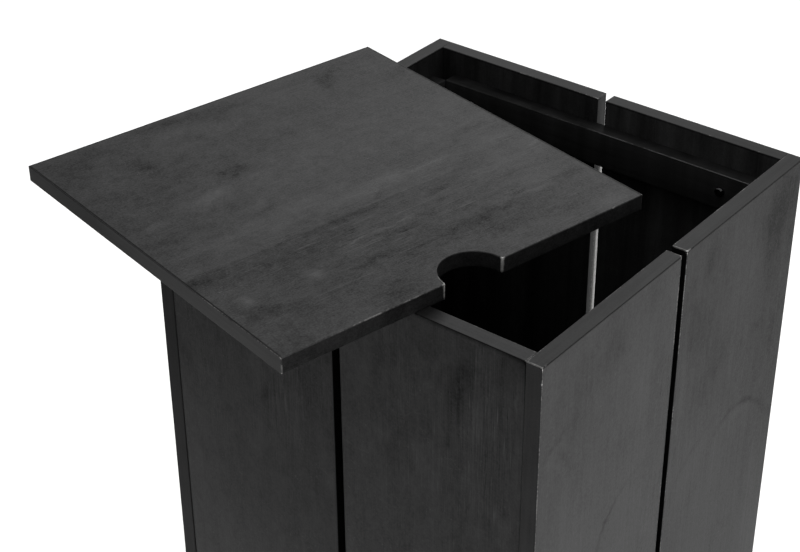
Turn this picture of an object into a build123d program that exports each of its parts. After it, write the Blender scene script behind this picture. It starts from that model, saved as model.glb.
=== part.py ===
from build123d import *
import math
import os

os.makedirs("parts", exist_ok=True)

# A square litter and ash bin of dark boards. Each wall is two boards with an
# upright slot between them, and a ledge of battens runs round the inside below
# the rim. A flat lid with a half-round drop notch lies askew on the rim, and a
# lift-out sheet-steel liner stands on a steel base plate. The origin is the
# centre of the base plate's underside, on the ground. +Z is up, -Y is the front
# wall and +X is the right wall.

# ---------------------------------------------------------------- dimensions
# Housing
outer = 400.0          # outside width and depth
rim_z = 800.0          # height of the rim above the ground
board = 14.4           # thickness of every wall board and of the lid (15 nominal)
slot = 8.5             # clear width of the slot in the middle of each wall
edging = 1.2           # thickness of the edging strips
ease = 0.8             # rounding of the edging strips' outer corners
ground_gap = 6.0       # underside of the wall boards above the ground
open_joint = 1.2       # open butt joint at the front left corner

# Rails and their screws
rail_t = 15.5          # batten thickness
rail_h = 35.0          # batten height
rail_play = 0.2        # a rail is this much shorter than its space
rail_ease = 1.0        # rounding of a ledge rail's inner edges
ledge_drop = 25.0      # top of the ledge below the rim
screw_u = 138.0        # rail screws, each side of the middle of the wall
screw_r = 2.0          # screw shank
screw_clear_r = 2.25   # clearance hole in a rail
screw_head_r = 4.75
screw_head_h = 3.0
screw_crown = 2.2      # rounding of the head
recess_l, recess_w, recess_depth = 4.4, 1.0, 1.8    # cross recess
pilot = 11.0           # depth of the screw hole in the board
tip_gap = 0.5          # space left at the end of a screw or dowel hole

# Corner dowels
dowel_r = 4.0
dowel_side = 10.0      # hole depth in a side board's face
dowel_end = 20.0       # hole depth in a front or rear board's end
dowel_z = [95.0, 250.0, 405.0, 560.0, 705.0]

# Base plate and its screws
plate = 370.0          # square
plate_t = 4.0
plate_corner_r = 4.0
anchor_pitch = 240.0   # ground anchor holes, square pattern
anchor_r = 5.5
drain_r = 4.0
drain_ring_r = 60.0    # radius of the ring of drain holes
plate_screw_u = 90.0   # each side of the middle of the wall
plate_pilot = 18.0     # screw hole depth in a base rail
countersink_r = 4.2
flat_head_r = 4.1
flat_head_h = 2.1
flat_head_z = 0.1      # underside of the head above the ground
flat_shank_z = 1.0     # start of the shank, inside the head
flat_recess_l, flat_recess_w, flat_recess_depth = 4.0, 0.9, 1.3

# Liner
liner_w = 320.0        # body, outside
liner_r = 18.0         # upright corner radius, outside
sheet = 1.0            # sheet thickness
liner_top = 500.0
roll_r = 3.5           # rolled rim, outside radius
roll_in = 2.5          # rolled rim, inside radius
roll_start, roll_sweep = -120, 300    # arc of the roll's section, degrees
wire_r = 2.45          # stiffening wire in the rolled rim
pan_z = 27.0           # top of the liner's floor
pan_skirt_z = 8.0      # lower edge of the floor's skirt

# Drop handles, their clips and rivets
handle_r = 3.0         # wire radius
handle_off = 3.3       # pivot axis to the liner's inside face
handle_w = 104.0       # between the leg axes
handle_drop = 36.0     # pivot axis to the grip axis
handle_corner = 9.0
handle_z = 478.0       # pivot axis height
clip_w = 60.0
clip_t = 1.5
clip_bore = 3.08       # radius
clip_flange = 16.0     # half height of the clip
clip_trim = 10.0       # depth cut away behind the clip's flat back
rivet_r = 2.0
rivet_y = 20.0         # rivets, each side of the clip's middle
rivet_z = 11.0         # rivets, above and below the pivot axis
dome_r, dome_h, dome_ease = 3.6, 1.4, 1.2    # rivet head inside the liner
set_head_r, set_head_h = 3.0, 1.0            # rivet head outside the liner

# Lid
lid = 369.6            # square
notch_r = 29.0         # drop notch in the middle of one edge
lid_x, lid_y = -85.15, -102.24    # middle of the lid
lid_turn = 77.4275                # turn of the lid about +Z, degrees

near = 0.01            # slack when edges are picked by position
head_margin = 1.0      # head edges are picked from this far off the seating face

# ---------------------------------------------------------------- derived
half = outer / 2
inner = half - board                 # half the clear opening
mid = inner + board / 2              # middle of a board's thickness
core_top = rim_z - edging            # top of a board below its top edging
core_h = core_top - ground_gap
core_mid = (core_top + ground_gap) / 2
board_lo = slot / 2 + edging         # edge of a board core beside the slot
side_hi = half - edging
side_w, side_c = side_hi - board_lo, (side_hi + board_lo) / 2
end_w, end_c = inner - board_lo, (inner + board_lo) / 2
rail_face = inner - rail_t           # inner face of a rail from the axis
ledge_mid = rim_z - ledge_drop - rail_h / 2
base_mid = plate_t + rail_h / 2
long_rail = 2 * inner - rail_play
short_rail = 2 * rail_face - rail_play

# The inside face of each wall: local x runs along the wall, local y is up and
# the normal points into the bin.
right_wall = Plane(origin=(inner, 0, 0), x_dir=(0, -1, 0), z_dir=(-1, 0, 0))
left_wall = Plane(origin=(-inner, 0, 0), x_dir=(0, 1, 0), z_dir=(1, 0, 0))
front_wall = Plane(origin=(0, -inner, 0), x_dir=(-1, 0, 0), z_dir=(0, 1, 0))
rear_wall = Plane(origin=(0, inner, 0), x_dir=(1, 0, 0), z_dir=(0, -1, 0))
walls = {"right": right_wall, "left": left_wall, "front": front_wall, "rear": rear_wall}
# The end faces of the front and rear boards, at the right and left corners.
right_end = Plane(origin=(inner, 0, 0), x_dir=(0, 1, 0), z_dir=(1, 0, 0))
left_end = Plane(origin=(-inner, 0, 0), x_dir=(0, -1, 0), z_dir=(-1, 0, 0))


def save(name, part):
    part.label = name
    export_step(part, f"parts/{name}.step")


# ---------------------------------------------------------------- wall boards
def wall_board(wall, centre, width, dowel_face, dowel_x, dowel_depth):
    """One board with its rail screw holes and a column of dowel holes."""
    screw_x = math.copysign(screw_u, centre)
    with BuildPart() as panel:
        with BuildSketch(wall):
            with Locations((centre, core_mid)):
                Rectangle(width, core_h)
        extrude(amount=-board)
        with BuildSketch(wall):
            with Locations((screw_x, ledge_mid), (screw_x, base_mid)):
                Circle(screw_r)
        extrude(amount=-pilot, mode=Mode.SUBTRACT)
        with BuildSketch(dowel_face):
            with Locations(*[(dowel_x, z) for z in dowel_z]):
                Circle(dowel_r)
        extrude(amount=-dowel_depth, mode=Mode.SUBTRACT)
    return panel.part


# The side walls run the full depth and cover the corners; the front and rear
# walls sit between them. The front left board stops short of the left wall,
# which leaves the open joint.
joint_c, joint_w = end_c - open_joint / 2, end_w - open_joint
# name: wall, centre along it, width, dowelled face, dowels along it, their depth
boards = {
    "right_panel_front": (right_wall, side_c, side_w, right_wall, mid, dowel_side),
    "right_panel_rear": (right_wall, -side_c, side_w, right_wall, -mid, dowel_side),
    "left_panel_rear": (left_wall, side_c, side_w, left_wall, mid, dowel_side),
    "left_panel_front": (left_wall, -side_c, side_w, left_wall, -mid, dowel_side),
    "front_panel_right": (front_wall, -end_c, end_w, right_end, -mid, dowel_end),
    "front_panel_left": (front_wall, joint_c, joint_w, left_end, mid, dowel_end),
    "rear_panel_right": (rear_wall, end_c, end_w, right_end, mid, dowel_end),
    "rear_panel_left": (rear_wall, -end_c, end_w, left_end, -mid, dowel_end),
}
for name, layout in boards.items():
    save(name, wall_board(*layout))

# Glued dowels across the four corner joints, a little short at each end.
with BuildPart() as corner_dowels:
    with BuildSketch(right_end.offset(-dowel_end + tip_gap)):
        with Locations(*[(y, z) for y in (-mid, mid) for z in dowel_z]):
            Circle(dowel_r)
    extrude(amount=dowel_end + dowel_side - 2 * tip_gap)
    mirror(about=Plane.YZ)
save("corner_dowels", corner_dowels.part)


# ---------------------------------------------------------------- edging strips
def top_edging(*strips):
    """Strips on top of one wall, each given as centre x, centre y, x size, y size."""
    with BuildPart() as edging_strips:
        with BuildSketch(Plane.XY.offset(core_top)):
            for x, y, x_size, y_size in strips:
                with Locations((x, y)):
                    Rectangle(x_size, y_size)
        extrude(amount=edging)
        fillet(edging_strips.edges().group_by(Axis.Z)[-1], ease)
    return edging_strips.part


side_strip_c, side_strip_l = (half + slot / 2) / 2, half - slot / 2
end_strip_c, end_strip_l = (inner + slot / 2) / 2, inner - slot / 2

for name, x in (("right", mid), ("left", -mid)):
    save(f"{name}_top_edging", top_edging(
        (x, side_strip_c, board, side_strip_l),
        (x, -side_strip_c, board, side_strip_l),
    ))
save("rear_top_edging", top_edging(
    (end_strip_c, mid, end_strip_l, board),
    (-end_strip_c, mid, end_strip_l, board),
))
save("front_top_edging", top_edging(
    (end_strip_c, -mid, end_strip_l, board),
    (-(end_strip_c - open_joint / 2), -mid, end_strip_l - open_joint, board),
))

# Upright strips on the side boards' outer ends, seen at the four corners.
with BuildPart() as corner_edging:
    with BuildSketch(Plane.XY.offset(ground_gap)):
        with GridLocations(2 * mid, outer - edging, 2, 2):
            Rectangle(board, edging)
    extrude(amount=core_h)
    upright = corner_edging.edges().filter_by(Axis.Z).group_by(Axis.Y)
    fillet(upright[0] + upright[-1], ease)
save("corner_edging", corner_edging.part)

# Upright strips on the board edges that face the slots.
with BuildPart() as slot_edging:
    with BuildSketch(Plane.XY.offset(ground_gap)):
        with GridLocations(2 * mid, slot + edging, 2, 2):
            Rectangle(board, edging)
        with GridLocations(slot + edging, 2 * mid, 2, 2):
            Rectangle(edging, board)
    extrude(amount=core_h)
    facing = slot_edging.edges().filter_by(Axis.Z).filter_by(
        lambda e: min(abs(e.center().X), abs(e.center().Y)) < slot / 2 + near
    )
    fillet(facing, ease)
save("slot_edging", slot_edging.part)


# ---------------------------------------------------------------- rails
def plate_screw_places(wall):
    """Where the two screws through the base plate enter one wall's base rail."""
    middle = wall.origin + wall.z_dir * (rail_t / 2)
    places = [middle + wall.x_dir * u for u in (-plate_screw_u, plate_screw_u)]
    return [(place.X, place.Y) for place in places]


def ledge_rail(wall):
    """A batten near the rim, with the long edges of its inner face rounded."""
    with BuildPart() as rail:
        with BuildSketch(wall):
            with Locations((0, ledge_mid)):
                Rectangle(short_rail, rail_h)
            with Locations((screw_u, ledge_mid), (-screw_u, ledge_mid)):
                Circle(screw_clear_r, mode=Mode.SUBTRACT)
        extrude(amount=rail_t)
        inward = Axis((0, 0, 0), wall.z_dir)
        along = Axis((0, 0, 0), wall.x_dir)
        fillet(rail.faces().sort_by(inward)[-1].edges().filter_by(along), rail_ease)
    return rail.part


def base_rail(wall, length):
    """A batten on the base plate, with holes for the screws from below."""
    with BuildPart() as rail:
        with BuildSketch(wall):
            with Locations((0, base_mid)):
                Rectangle(length, rail_h)
            with Locations((screw_u, base_mid), (-screw_u, base_mid)):
                Circle(screw_clear_r, mode=Mode.SUBTRACT)
        extrude(amount=rail_t)
        with BuildSketch(Plane.XY.offset(plate_t)):
            with Locations(*plate_screw_places(wall)):
                Circle(screw_r)
        extrude(amount=plate_pilot, mode=Mode.SUBTRACT)
    return rail.part


def rail_screws(height):
    """Domed screws with a cross recess, two to a rail, in a ring at one height."""
    seats = [wall.offset(rail_t) for wall in walls.values()]
    places = [(screw_u, height), (-screw_u, height)]
    with BuildPart() as screws:
        with BuildSketch(*seats):
            with Locations(*places):
                Circle(screw_head_r)
        extrude(amount=screw_head_h)
        crowns = screws.edges().filter_by(
            lambda e: max(abs(e.center().X), abs(e.center().Y)) < rail_face - head_margin
        )
        fillet(crowns, screw_crown)
        with BuildSketch(*[seat.offset(screw_head_h) for seat in seats]):
            with Locations(*places):
                Rectangle(recess_l, recess_w)
                Rectangle(recess_w, recess_l)
        extrude(amount=-recess_depth, mode=Mode.SUBTRACT)
        with BuildSketch(*seats):
            with Locations(*places):
                Circle(screw_r)
        extrude(amount=-(rail_t + pilot - tip_gap))
    return screws.part


# Battens screwed inside the walls tie the two boards of each wall. The ledge
# rails are all the same length and stop short of the corners, so each corner of
# the ledge is open. At the foot, the front and rear rails run the full width.
for name, wall in walls.items():
    save(f"ledge_rail_{name}", ledge_rail(wall))
    save(f"base_rail_{name}",
         base_rail(wall, long_rail if name in ("front", "rear") else short_rail))
save("ledge_rail_screws", rail_screws(ledge_mid))
save("base_rail_screws", rail_screws(base_mid))

# ---------------------------------------------------------------- base plate
plate_screw_xy = [place for wall in walls.values() for place in plate_screw_places(wall)]

with BuildPart() as base_plate:
    with BuildSketch():
        RectangleRounded(plate, plate, plate_corner_r)
        with GridLocations(anchor_pitch, anchor_pitch, 2, 2):
            Circle(anchor_r, mode=Mode.SUBTRACT)
        with PolarLocations(drain_ring_r, 4):
            Circle(drain_r, mode=Mode.SUBTRACT)
    extrude(amount=plate_t)
    # Countersinks are cut from the underside, 1 mm past the top of the plate.
    with Locations(Plane(origin=(0, 0, 0), x_dir=(1, 0, 0), z_dir=(0, 0, -1)).location):
        with Locations(*plate_screw_xy):
            CounterSinkHole(
                radius=screw_clear_r, counter_sink_radius=countersink_r, depth=plate_t + 1
            )
save("base_plate", base_plate.part)

# Countersunk screws up through the plate into the base rails.
with BuildPart() as base_plate_screws:
    with BuildSketch(Plane.XY.offset(flat_head_z)):
        with Locations(*plate_screw_xy):
            Circle(flat_head_r)
    extrude(amount=flat_head_h, taper=45)
    with BuildSketch(Plane.XY.offset(flat_shank_z)):
        with Locations(*plate_screw_xy):
            Circle(screw_r)
    extrude(amount=plate_t + plate_pilot - tip_gap - flat_shank_z)
    with BuildSketch(Plane.XY.offset(flat_head_z)):
        with Locations(*plate_screw_xy):
            Rectangle(flat_recess_l, flat_recess_w)
            Rectangle(flat_recess_w, flat_recess_l)
    extrude(amount=flat_recess_depth, mode=Mode.SUBTRACT)
save("base_plate_screws", base_plate_screws.part)

# ---------------------------------------------------------------- liner
liner_in = liner_w / 2 - sheet            # inside face of the body from the axis
roll_c = liner_in + roll_r                # middle of the rolled rim from the axis
roll_z = liner_top - roll_r
roll_corner = liner_r - sheet + roll_r
roll_flat = roll_c - roll_corner          # half the straight run of the rim

with BuildLine(Plane.XY.offset(roll_z)) as roll_path:
    Line((roll_c, 0), (roll_c, roll_flat))
    CenterArc((roll_flat, roll_flat), roll_corner, 0, 90)
    Line((roll_flat, roll_c), (-roll_flat, roll_c))
    CenterArc((-roll_flat, roll_flat), roll_corner, 90, 90)
    Line((-roll_c, roll_flat), (-roll_c, -roll_flat))
    CenterArc((-roll_flat, -roll_flat), roll_corner, 180, 90)
    Line((-roll_flat, -roll_c), (roll_flat, -roll_c))
    CenterArc((roll_flat, -roll_flat), roll_corner, 270, 90)
    Line((roll_c, -roll_flat), (roll_c, 0))

roll_plane = Plane(origin=(roll_c, 0, roll_z), x_dir=(1, 0, 0), z_dir=(0, -1, 0))
# The inside faces of the liner's right and left sheets, facing its middle.
right_sheet = Plane(origin=(liner_in, 0, 0), x_dir=(0, -1, 0), z_dir=(-1, 0, 0))
left_sheet = Plane(origin=(-liner_in, 0, 0), x_dir=(0, 1, 0), z_dir=(1, 0, 0))
rivet_spots = [(y, handle_z + z) for y in (-rivet_y, rivet_y) for z in (-rivet_z, rivet_z)]

with BuildPart() as liner_body:
    with BuildSketch(Plane.XY.offset(plate_t)):
        RectangleRounded(liner_w, liner_w, liner_r)
        RectangleRounded(
            liner_w - 2 * sheet, liner_w - 2 * sheet, liner_r - sheet, mode=Mode.SUBTRACT
        )
    extrude(amount=roll_z - plate_t)
    with BuildSketch(roll_plane):
        with BuildLine():
            outer_arc = CenterArc((0, 0), roll_r, roll_start, roll_sweep)
            inner_arc = CenterArc((0, 0), roll_in, roll_start, roll_sweep)
            Line(outer_arc @ 0, inner_arc @ 0)
            Line(outer_arc @ 1, inner_arc @ 1)
        make_face()
    sweep(path=roll_path.wire())
    with BuildSketch(right_sheet, left_sheet):
        with Locations(*rivet_spots):
            Circle(rivet_r)
    extrude(amount=-sheet, mode=Mode.SUBTRACT)
save("liner_body", liner_body.part)

with BuildPart() as liner_rim_wire:
    with BuildSketch(roll_plane):
        Circle(wire_r)
    sweep(path=roll_path.wire())
save("liner_rim_wire", liner_rim_wire.part)

# A pressed floor with its skirt turned down, raised clear of the anchor heads.
with BuildPart() as liner_floor:
    with BuildSketch(Plane.XY.offset(pan_skirt_z)):
        RectangleRounded(liner_w - 2 * sheet, liner_w - 2 * sheet, liner_r - sheet)
    extrude(amount=pan_z - pan_skirt_z)
    with BuildSketch(Plane.XY.offset(pan_skirt_z)):
        RectangleRounded(liner_w - 4 * sheet, liner_w - 4 * sheet, liner_r - 2 * sheet)
    extrude(amount=pan_z - sheet - pan_skirt_z, mode=Mode.SUBTRACT)
save("liner_floor", liner_floor.part)


# ---------------------------------------------------------------- drop handles
def handle_clip(side, sheet_plane):
    """A clip round the handle's top bar; side is +1 for right and -1 for left."""
    # Local x runs from the sheet towards the liner's middle.
    section = Plane(
        origin=(side * liner_in, 0, handle_z), x_dir=(-side, 0, 0), z_dir=(0, side, 0)
    )
    with BuildPart() as clip:
        with BuildSketch(section):
            with Locations((handle_off, 0)):
                Circle(clip_bore + clip_t)
            with Locations((handle_off / 2, 0)):
                Rectangle(handle_off, 2 * (clip_bore + clip_t))
            with Locations((clip_t / 2, 0)):
                Rectangle(clip_t, 2 * clip_flange)
            with Locations((handle_off, 0)):
                Circle(clip_bore, mode=Mode.SUBTRACT)
            with Locations((handle_off / 2, 0)):
                Rectangle(handle_off, 2 * clip_bore, mode=Mode.SUBTRACT)
            with Locations((-clip_trim / 2, 0)):
                Rectangle(clip_trim, 4 * clip_flange, mode=Mode.SUBTRACT)
        extrude(amount=clip_w / 2, both=True)
        with BuildSketch(sheet_plane):
            with Locations(*rivet_spots):
                Circle(rivet_r)
        extrude(amount=clip_t, mode=Mode.SUBTRACT)
    return clip.part


def drop_handle(side):
    """A closed loop of wire hanging from its top bar, which turns in the clip."""
    pivot = (side * (liner_in - handle_off), 0, handle_z)
    leg = handle_w / 2
    corner = handle_corner
    flat = leg - corner                 # half the straight run of the bar and grip
    low = corner - handle_drop          # centre of the lower corners
    with BuildPart() as handle:
        with BuildLine(Plane(origin=pivot, x_dir=(0, 1, 0), z_dir=(1, 0, 0))) as loop:
            Line((0, 0), (flat, 0))
            CenterArc((flat, -corner), corner, 90, -90)
            Line((leg, -corner), (leg, low))
            CenterArc((flat, low), corner, 0, -90)
            Line((flat, -handle_drop), (-flat, -handle_drop))
            CenterArc((-flat, low), corner, 270, -90)
            Line((-leg, low), (-leg, -corner))
            CenterArc((-flat, -corner), corner, 180, -90)
            Line((-flat, 0), (0, 0))
        with BuildSketch(Plane(origin=pivot, x_dir=(1, 0, 0), z_dir=(0, 1, 0))):
            Circle(handle_r)
        sweep(path=loop.wire())
    return handle.part


for name, side, sheet_plane in (("right", 1, right_sheet), ("left", -1, left_sheet)):
    save(f"handle_clip_{name}", handle_clip(side, sheet_plane))
    save(f"drop_handle_{name}", drop_handle(side))

# Rivets through each clip and the liner sheet, with a domed head inside and a
# set head outside.
with BuildPart() as handle_rivets:
    with BuildSketch(right_sheet.offset(clip_t), left_sheet.offset(clip_t)):
        with Locations(*rivet_spots):
            Circle(dome_r)
    extrude(amount=dome_h)
    domes = handle_rivets.edges().filter_by(
        lambda e: abs(e.center().X) < liner_in - clip_t - head_margin
    )
    fillet(domes, dome_ease)
    with BuildSketch(right_sheet.offset(clip_t), left_sheet.offset(clip_t)):
        with Locations(*rivet_spots):
            Circle(rivet_r)
    extrude(amount=-(clip_t + sheet))
    with BuildSketch(right_sheet.offset(-sheet), left_sheet.offset(-sheet)):
        with Locations(*rivet_spots):
            Circle(set_head_r)
    extrude(amount=-set_head_h)
save("handle_rivets", handle_rivets.part)

# ---------------------------------------------------------------- lid
# The lid's local -y edge carries the drop notch and has no edging; the other
# three edges have a strip.
turn = math.radians(lid_turn)
lid_plane = Plane(
    origin=(lid_x, lid_y, rim_z), x_dir=(math.cos(turn), math.sin(turn), 0), z_dir=(0, 0, 1)
)

with BuildPart() as lid_panel:
    with BuildSketch(lid_plane):
        with Locations((0, -edging / 2)):
            Rectangle(lid - 2 * edging, lid - edging)
        with Locations((0, -lid / 2)):
            Circle(notch_r, mode=Mode.SUBTRACT)
    extrude(amount=board)
    fillet(lid_panel.edges().filter_by(GeomType.CIRCLE), ease)
save("lid_panel", lid_panel.part)


def lid_side_edging(side):
    """The strip on the lid's local +x (side 1) or -x (side -1) edge."""
    with BuildPart() as strip:
        with BuildSketch(lid_plane):
            with Locations((side * (lid / 2 - edging / 2), 0)):
                Rectangle(edging, lid)
        extrude(amount=board)
        outside = strip.edges().filter_by(
            lambda e: side * lid_plane.to_local_coords(e.center()).X > lid / 2 - near
        )
        fillet(outside, ease)
    return strip.part


save("lid_edging_right", lid_side_edging(1))
save("lid_edging_left", lid_side_edging(-1))

# The back strip fits between the other two; only its long outer edges are rounded.
with BuildPart() as lid_edging_back:
    with BuildSketch(lid_plane):
        with Locations((0, lid / 2 - edging / 2)):
            Rectangle(lid - 2 * edging, edging)
    extrude(amount=board)
    back_edges = lid_edging_back.edges().filter_by(
        lambda e: lid_plane.to_local_coords(e.center()).Y > lid / 2 - near
        and e.length > lid / 2
    )
    fillet(back_edges, ease)
save("lid_edging_back", lid_edging_back.part)
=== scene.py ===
"""A square litter bin: a black stained board housing with a slot in the middle of every wall,
thin edging strips, ledge and base rails, a steel liner, and a loose lid lying askew on the rim.

Metres, +Z up. The housing is centred on the Z axis above the floor at z = 0. Front is -Y, rear
is +Y, right is +X and left is -X. The lid has its own frame: the origin is the middle of its
underside, and its half-round notch is in its -Y side.
"""
import math

import bpy
import bmesh
from mathutils import Matrix, Vector, noise
from mathutils.geometry import tessellate_polygon


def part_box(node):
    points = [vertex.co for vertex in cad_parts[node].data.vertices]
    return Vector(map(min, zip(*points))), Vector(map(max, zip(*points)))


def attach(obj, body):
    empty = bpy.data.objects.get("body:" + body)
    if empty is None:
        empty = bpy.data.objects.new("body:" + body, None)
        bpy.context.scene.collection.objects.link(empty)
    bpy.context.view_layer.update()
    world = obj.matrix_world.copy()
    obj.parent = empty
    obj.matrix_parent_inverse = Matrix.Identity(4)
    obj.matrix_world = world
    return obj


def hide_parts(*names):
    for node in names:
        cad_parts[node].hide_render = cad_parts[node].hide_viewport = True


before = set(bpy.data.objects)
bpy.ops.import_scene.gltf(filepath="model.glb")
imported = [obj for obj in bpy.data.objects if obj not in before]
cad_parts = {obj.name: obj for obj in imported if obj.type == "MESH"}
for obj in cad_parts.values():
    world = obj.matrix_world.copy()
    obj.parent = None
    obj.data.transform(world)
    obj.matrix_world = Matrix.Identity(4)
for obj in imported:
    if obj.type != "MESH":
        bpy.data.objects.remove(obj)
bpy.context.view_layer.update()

MM = 0.001

# ------------------------------------------------------------------ sizes
# Driving sizes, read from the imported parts.
wall_lo, wall_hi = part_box("right_panel_front")
HALF = wall_hi.x                     # outer face of the housing
INNER = wall_lo.x                    # inner face of a wall
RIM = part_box("right_top_edging")[1].z
CORE_TOP = wall_hi.z                 # top of the boards, under the edging
FOOT = wall_lo.z
EDGE = RIM - CORE_TOP                # edging thickness
HALF_SLOT = -wall_hi.y - EDGE        # half the slot's clear width

# Edge rounding
GLUE = 0.20 * MM                     # a glue line
TIGHT = 0.40 * MM                    # free edges of the edging strips
EASED = 0.5 * MM                     # feet of the boards, and the rails
LID_BARE = 0.42 * MM                 # lid edges without a strip
NOTCH = 29.0 * MM                    # radius of the lid's notch
NOTCH_CORNER = 1.1 * MM              # rounding of the notch's two upright corners
ON_FACE = 1e-5                       # a point this close to a face lies on it


def points_of(node):
    return [v.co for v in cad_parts[node].data.vertices]


def middle(points):
    """The middle of a thin straight strip, from its two farthest ends."""
    end = max(points, key=lambda p: (p - points[0]).length)
    other = max(points, key=lambda p: (p - end).length)
    return (end + other) / 2


# The lid's middle, turn and size come from its own vertices.
lid_right = middle(points_of("lid_edging_right"))
lid_left = middle(points_of("lid_edging_left"))
lid_x = Vector((lid_right.x - lid_left.x, lid_right.y - lid_left.y, 0)).normalized()
lid_y = Vector((-lid_x.y, lid_x.x, 0))
lid_mid = Vector(((lid_right.x + lid_left.x) / 2, (lid_right.y + lid_left.y) / 2, RIM))
lid_points = [p for part in ("panel", "edging_right", "edging_left", "edging_back")
              for p in points_of("lid_" + part)]
LID_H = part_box("lid_panel")[1].z - RIM
LID_X = max((p - lid_mid).dot(lid_x) for p in lid_points)     # half sizes of the lid
LID_Y = max((p - lid_mid).dot(lid_y) for p in lid_points)
LID_MATRIX = Matrix((
    (lid_x.x, lid_y.x, 0, lid_mid.x),
    (lid_x.y, lid_y.y, 0, lid_mid.y),
    (0, 0, 1, lid_mid.z),
    (0, 0, 0, 1),
))


# ------------------------------------------------------------------ node helpers
class Net:
    """A node tree, written as plain calls. Values may be numbers or sockets.

    offset shifts every texture, and along is the grain's axis."""

    def __init__(self, tree, output, coords, offset=(0, 0, 0), along=0):
        self.tree = tree
        tree.nodes.clear()
        self.out = self.node(output)
        self.coords = self.node("ShaderNodeTexCoord").outputs[coords]
        self.offset = offset
        self.along = along

    def node(self, kind, **settings):
        made = self.tree.nodes.new(kind)
        for key, value in settings.items():
            setattr(made, key, value)
        return made

    def put(self, socket, value):
        if hasattr(value, "is_linked"):
            self.tree.links.new(value, socket)
        else:
            socket.default_value = value

    def fill(self, node, **values):
        """Sets inputs by name; an underscore stands for a space."""
        for key, value in values.items():
            self.put(node.inputs[key.replace("_", " ")], value)

    def op(self, operation, first, second=0.0):
        node = self.node("ShaderNodeMath", operation=operation)
        for socket, value in zip(node.inputs, (first, second, 0.0)):
            self.put(socket, value)
        return node.outputs[0]

    def mul(self, result, *others):
        for other in others:
            result = self.op("MULTIPLY", result, other)
        return result

    def add(self, *terms):
        """Adds the terms; a tuple, such as (value, weight), is multiplied out first."""
        terms = [self.mul(*t) if isinstance(t, tuple) else t for t in terms]
        result = terms[0]
        for term in terms[1:]:
            result = self.op("ADD", result, term)
        return result

    def sub(self, first, second):
        return self.op("SUBTRACT", first, second)

    def centred(self, value):
        return self.sub(value, 0.5)

    def xyz(self, vector):
        node = self.node("ShaderNodeSeparateXYZ")
        self.put(node.inputs[0], vector)
        return node.outputs[0], node.outputs[1], node.outputs[2]

    def mapped(self, stretch=(1, 1, 1), offset=None, turn=(0, 0, 0)):
        node = self.node("ShaderNodeMapping")
        self.fill(node, Vector=self.coords, Scale=stretch, Rotation=turn,
                  Location=self.offset if offset is None else offset)
        return node.outputs[0]

    def noise(self, scale=1.0, detail=3.0, rough=0.6, distortion=0.0, **mapping):
        node = self.node("ShaderNodeTexNoise")
        self.fill(node, Vector=self.mapped(**mapping), Scale=scale, Detail=detail,
                  Roughness=rough, Distortion=distortion)
        return node.outputs["Fac"]

    def cloud(self, **settings):
        """Noise about zero."""
        return self.centred(self.noise(**settings))

    def grain(self, across, length, shift, detail, rough, distortion=0.0):
        """Noise scaled differently across the grain and along it."""
        stretch = [across, across, across]
        stretch[self.along] = length
        return self.noise(detail=detail, rough=rough, distortion=distortion,
                          stretch=tuple(stretch), offset=tuple(o + shift for o in self.offset))

    def cells(self, scale, output="Distance"):
        node = self.node("ShaderNodeTexVoronoi")
        self.fill(node, Vector=self.mapped(), Scale=scale)
        return node.outputs[output]

    def ramp(self, value, span, to=(0.0, 1.0), smooth=False):
        """Maps value from one span to another."""
        node = self.node("ShaderNodeMapRange",
                         interpolation_type="SMOOTHSTEP" if smooth else "LINEAR")
        self.fill(node, Value=value, From_Min=span[0], From_Max=span[1],
                  To_Min=to[0], To_Max=to[1])
        return node.outputs["Result"]

    def blob(self, u, v, mid_u, mid_v, half_u, half_v, amount, turn=0.0):
        """A soft oval mark on a face, given in mm."""
        cos, sin = math.cos(turn), math.sin(turn)
        half_u, half_v = half_u * MM, half_v * MM
        du = self.sub(u, mid_u * MM)
        dv = self.sub(v, mid_v * MM)
        long = self.add((du, cos / half_u), (dv, sin / half_u))
        short = self.add((du, -sin / half_v), (dv, cos / half_v))
        squared = self.add((long, long), (short, short))
        return self.mul(self.op("EXPONENT", self.mul(squared, -1.0)), amount)

    def arc(self, u, v, mid_u, mid_v, half_u, half_v, width, amount, near):
        """A soft curved line along an oval, in mm, kept to the part near (u, v, reach)."""
        half_u, half_v = half_u * MM, half_v * MM
        du = self.mul(self.sub(u, mid_u * MM), 1.0 / half_u)
        dv = self.mul(self.sub(v, mid_v * MM), 1.0 / half_v)
        off_line = self.sub(self.op("SQRT", self.add((du, du), (dv, dv))), 1.0)
        off_line = self.mul(off_line, half_v / (width * MM))
        line = self.op("EXPONENT", self.mul(off_line, off_line, -1.0))
        return self.mul(line, self.blob(u, v, *near, near[2], amount))

    def grey(self, value, tint=(1.0, 1.0, 1.0)):
        node = self.node("ShaderNodeCombineColor")
        for i in range(3):
            self.put(node.inputs[i], self.mul(value, tint[i]))
        return node.outputs[0]

    def mix(self, factor, colour, other):
        """colour where factor is 0, other where it is 1."""
        node = self.node("ShaderNodeMix", data_type="RGBA")
        self.fill(node, Factor=factor, A=colour, B=other)
        return node.outputs["Result"]

    def mix_value(self, factor, value, other):
        node = self.node("ShaderNodeMix", data_type="FLOAT")
        self.put(node.inputs[0], factor)
        self.put(node.inputs[2], value)
        self.put(node.inputs[3], other)
        return node.outputs[0]

    def attr(self, name):
        return self.node("ShaderNodeAttribute", attribute_name=name).outputs["Fac"]

    def clean(self, left):
        """A factor for dark marks and painted shade: 1 where there are none, left where they are
        full.
        """
        return self.ramp(self.attr("dark_marks_and_shade"), (0.0, 1.0), (1.0, left))

    def bump(self, height, strength, distance, normal=None):
        node = self.node("ShaderNodeBump")
        self.fill(node, Strength=strength, Distance=distance, Height=height)
        if normal is not None:
            self.put(node.inputs["Normal"], normal)
        return node.outputs[0]


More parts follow.
